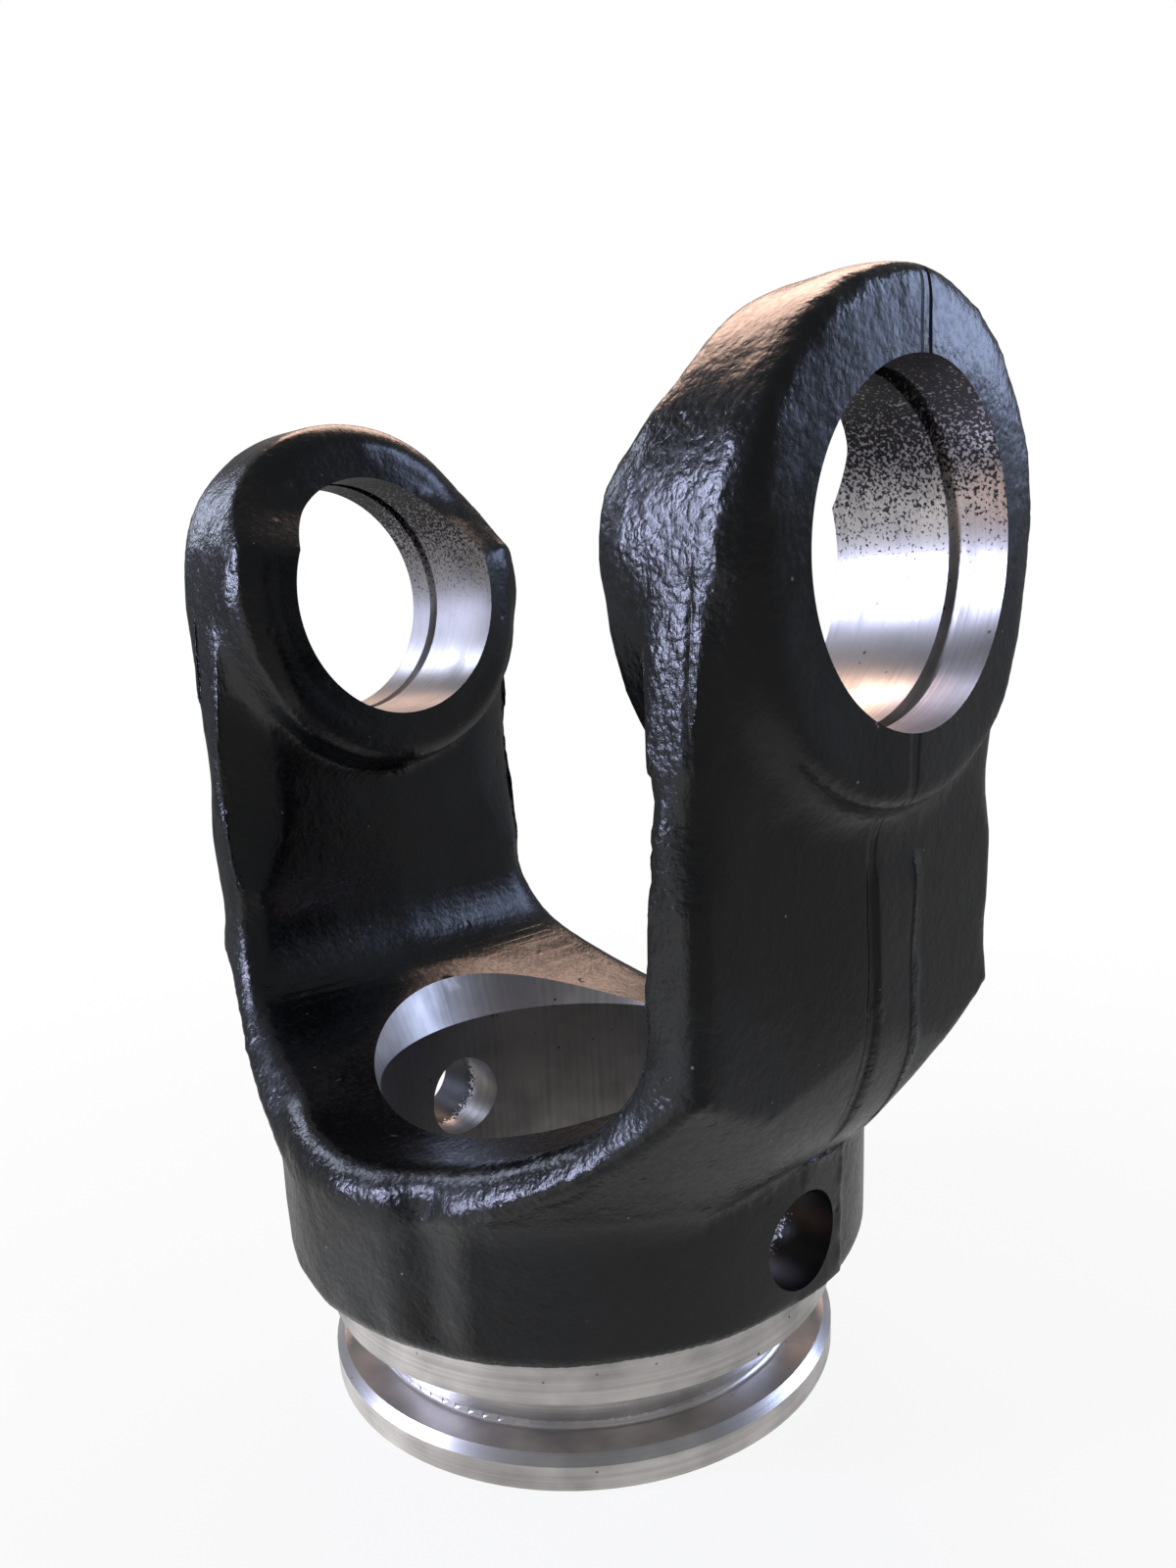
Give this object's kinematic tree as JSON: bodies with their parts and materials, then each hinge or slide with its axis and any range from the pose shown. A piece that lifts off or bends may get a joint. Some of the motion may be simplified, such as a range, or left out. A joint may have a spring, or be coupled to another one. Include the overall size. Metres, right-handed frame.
{
  "type": "drive shaft yoke",
  "caption": "Forged fork with round ears on a bored hub, carrying a universal joint cross on a drive shaft tube.",
  "frame": {"origin": "middle of the flat foot that the yoke stands on, on the shaft axis", "axes": "+Z along the shaft from the foot towards the ears, +X along the bearing bores of the ears"},
  "size_m": [0.0868, 0.0646, 0.1046],
  "materials": {
    "forging": "gloss black paint over forging skin, with bright machined bores and turned foot"
  },
  "bodies": {
    "root": {"yoke_forging": "forging"}
  },
  "joints": []
}
